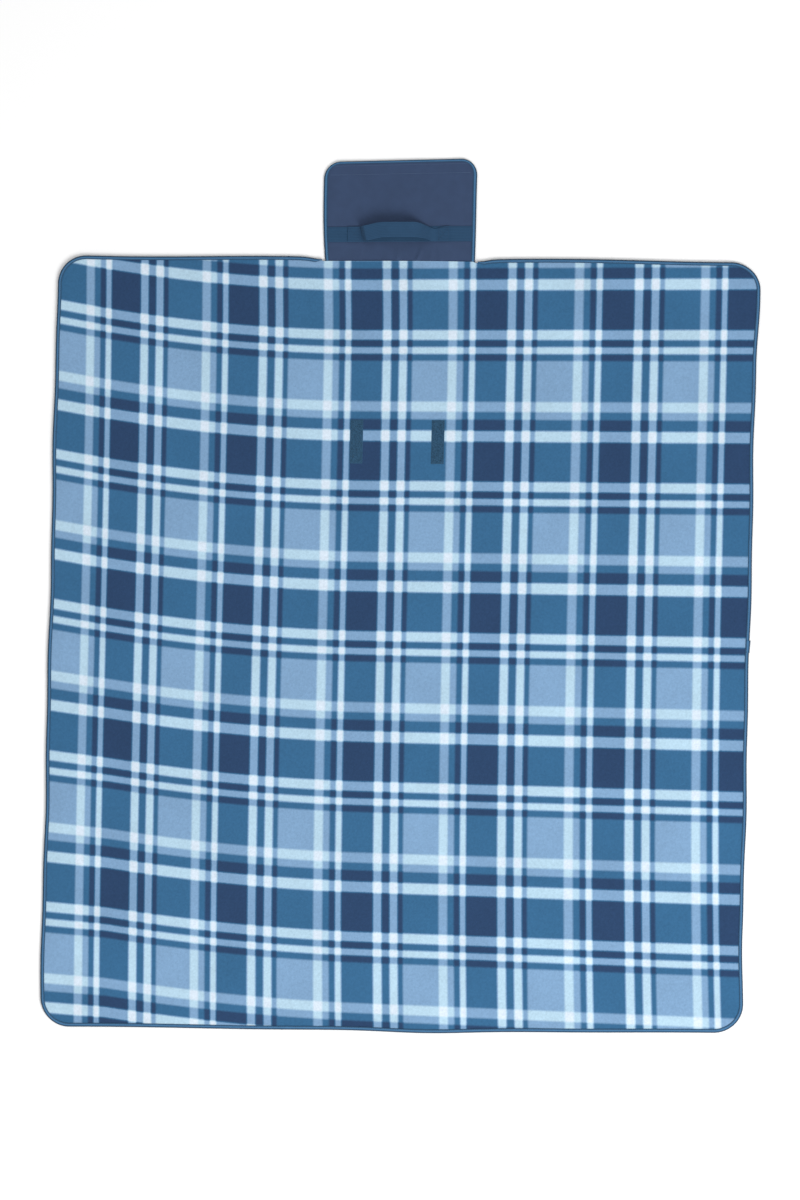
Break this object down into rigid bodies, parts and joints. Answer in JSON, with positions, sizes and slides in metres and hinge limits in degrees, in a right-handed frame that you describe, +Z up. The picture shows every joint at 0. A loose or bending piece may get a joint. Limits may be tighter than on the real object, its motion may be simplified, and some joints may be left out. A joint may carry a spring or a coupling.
{
  "type": "camp blanket",
  "caption": "Rectangular fleece ground blanket with rounded corners, bound edge and waterproof backing, folding into a bundle under a flap with a webbing carry handle.",
  "frame": {"origin": "on the ground, under the middle of the outline of blanket and flap together", "axes": "+Y from the blanket towards its flap, along the blanket's length; +X across its width; +Z up, out of the fleece side"},
  "size_m": [1.365, 1.6914, 0.0294],
  "materials": {
    "printed_fleece": "brushed fleece, printed plaid in navy, teal and pale blue",
    "white_wadding": "soft bonded wadding",
    "waterproof_backing": "coated plain weave, slight sheen",
    "edge_tape": "plain woven binding tape, matt",
    "woven_flap": "plain woven polyester, faintly mottled",
    "webbing": "ribbed webbing, matt",
    "hook_tape": "hook tape",
    "loop_patch": "napped loop tape",
    "thread": "sewing thread"
  },
  "bodies": {
    "panel_1": {"backing_1": "waterproof_backing", "wadding_1": "white_wadding", "fleece_1": "printed_fleece", "edge_tape_left_1": "edge_tape", "edge_tape_right_1": "edge_tape"},
    "panel_2": {"backing_2": "waterproof_backing", "wadding_2": "white_wadding", "fleece_2": "printed_fleece", "edge_tape_left_2": "edge_tape", "edge_tape_right_2": "edge_tape", "loop_patch_left": "loop_patch", "loop_patch_right": "loop_patch"},
    "panel_3": {"backing_3": "waterproof_backing", "wadding_3": "white_wadding", "fleece_3": "printed_fleece", "edge_tape_left_3": "edge_tape", "edge_tape_right_3": "edge_tape"},
    "panel_4": {"backing_4": "waterproof_backing", "wadding_4": "white_wadding", "fleece_4": "printed_fleece", "edge_tape_left_4": "edge_tape", "edge_tape_right_4": "edge_tape"},
    "panel_5": {"backing_5": "waterproof_backing", "wadding_5": "white_wadding", "fleece_5": "printed_fleece", "edge_tape_left_5": "edge_tape", "edge_tape_right_5": "edge_tape"},
    "panel_6": {"backing_6": "waterproof_backing", "wadding_6": "white_wadding", "fleece_6": "printed_fleece", "edge_tape_left_6": "edge_tape", "edge_tape_right_6": "edge_tape"},
    "panel_7": {"backing_7": "waterproof_backing", "wadding_7": "white_wadding", "fleece_7": "printed_fleece", "edge_tape_left_7": "edge_tape", "edge_tape_right_7": "edge_tape"},
    "flap_spine": {"flap_spine_back": "woven_flap", "flap_spine_front": "woven_flap", "flap_tape_left": "edge_tape", "flap_tape_right": "edge_tape", "webbing_band": "webbing", "handle_tab_left": "webbing", "handle_tab_right": "webbing", "handle_stitch_left": "thread", "handle_stitch_right": "thread"},
    "flap_tongue": {"flap_tongue_back": "woven_flap", "flap_tongue_front": "woven_flap", "flap_tape_tongue": "edge_tape", "hook_tape": "hook_tape"},
    "handle": {"handle_loop": "webbing"}
  },
  "joints": [
    {"name": "crease_1", "type": "hinge", "parent": "panel_1", "child": "panel_2", "pos_m": [0, 0.38775, 0.0114], "axis": [-1, 0, 0], "range_deg": [0, 179]},
    {"name": "crease_2", "type": "hinge", "parent": "panel_2", "child": "panel_3", "pos_m": [0, 0.18217, -0.0045], "axis": [1, 0, 0], "range_deg": [0, 179]},
    {"name": "crease_3", "type": "hinge", "parent": "panel_3", "child": "panel_4", "pos_m": [0, -0.02342, 0.0114], "axis": [-1, 0, 0], "range_deg": [0, 179]},
    {"name": "crease_4", "type": "hinge", "parent": "panel_4", "child": "panel_5", "pos_m": [0, -0.229, -0.0045], "axis": [1, 0, 0], "range_deg": [0, 179]},
    {"name": "crease_5", "type": "hinge", "parent": "panel_5", "child": "panel_6", "pos_m": [0, -0.43458, 0.0114], "axis": [-1, 0, 0], "range_deg": [0, 179]},
    {"name": "crease_6", "type": "hinge", "parent": "panel_6", "child": "panel_7", "pos_m": [0, -0.64017, -0.0045], "axis": [1, 0, 0], "range_deg": [0, 179]},
    {"name": "flap_seam", "type": "hinge", "parent": "panel_1", "child": "flap_spine", "pos_m": [-0.018, 0.64975, 0.0045], "axis": [1, 0, 0], "range_deg": [0, 90]},
    {"name": "flap_crease", "type": "hinge", "parent": "flap_spine", "child": "flap_tongue", "pos_m": [-0.018, 0.76575, 0.0045], "axis": [1, 0, 0], "range_deg": [0, 90]},
    {"name": "handle_lean", "type": "hinge", "parent": "flap_spine", "child": "handle", "pos_m": [-0.018, 0.70325, 0.0151], "axis": [1, 0, 0], "range_deg": [-30, 30]}
  ],
  "couplings": [
    {"joint": "crease_2", "follows": "crease_1", "ratio": 1},
    {"joint": "crease_3", "follows": "crease_1", "ratio": 1},
    {"joint": "crease_4", "follows": "crease_1", "ratio": 1},
    {"joint": "crease_5", "follows": "crease_1", "ratio": 1},
    {"joint": "crease_6", "follows": "crease_1", "ratio": 1}
  ]
}
